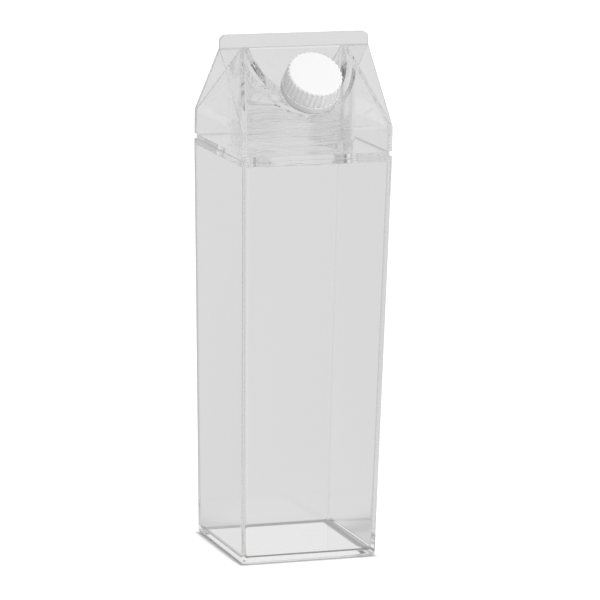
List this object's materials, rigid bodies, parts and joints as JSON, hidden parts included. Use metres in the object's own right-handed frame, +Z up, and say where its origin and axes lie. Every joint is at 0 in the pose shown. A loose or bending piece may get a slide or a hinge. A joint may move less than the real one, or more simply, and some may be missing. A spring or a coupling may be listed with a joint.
{
  "type": "clear milk carton shaped bottle",
  "caption": "Tall square clear acrylic bottle with a screw-on gable top, a flat ridge fin, and a white screw cap on a slanted spout.",
  "frame": {"origin": "middle of the flat foot, on the surface the bottle stands on", "axes": "+Z up along the bottle, the ridge along X, the spout and cap towards -Y"},
  "size_m": [0.0804, 0.0846, 0.269],
  "materials": {
    "clear_body": "clear polished acrylic",
    "clear_top": "clear polished acrylic",
    "white_cap": "satin moulded white plastic"
  },
  "bodies": {
    "root": {"bottle_body": "clear_body", "gable_top": "clear_top", "screw_cap": "white_cap"}
  },
  "joints": []
}
